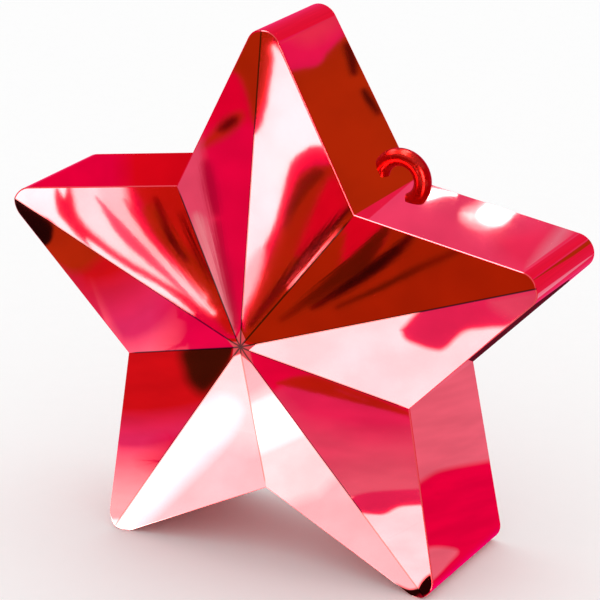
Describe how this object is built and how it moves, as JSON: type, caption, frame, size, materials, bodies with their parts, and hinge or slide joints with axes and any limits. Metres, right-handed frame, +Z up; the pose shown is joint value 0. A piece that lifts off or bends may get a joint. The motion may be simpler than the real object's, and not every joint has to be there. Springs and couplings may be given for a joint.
{
  "type": "balloon weight",
  "caption": "Free-standing faceted star weight in mirror-bright red, a closed moulded shell around a cast block, with a small hook for tying balloon ribbons.",
  "frame": {"origin": "on the floor under the middle of the part's box, halfway between the two standing arms", "axes": "+X to the right seen from the front, +Y to the back, +Z up; the faceted front faces -Y"},
  "size_m": [0.1068, 0.0382, 0.1019],
  "materials": {
    "shell": "moulded plastic, metallised and tinted red, mirror-bright",
    "hook": "moulded plastic, metallised and tinted red, bright",
    "cover": "moulded plastic, metallised and tinted red, slightly satin",
    "ballast": "cast gypsum plaster, matt"
  },
  "bodies": {
    "root": {"front_shell": "shell", "ribbon_hook": "hook", "back_cover": "cover", "ballast": "ballast"}
  },
  "joints": []
}
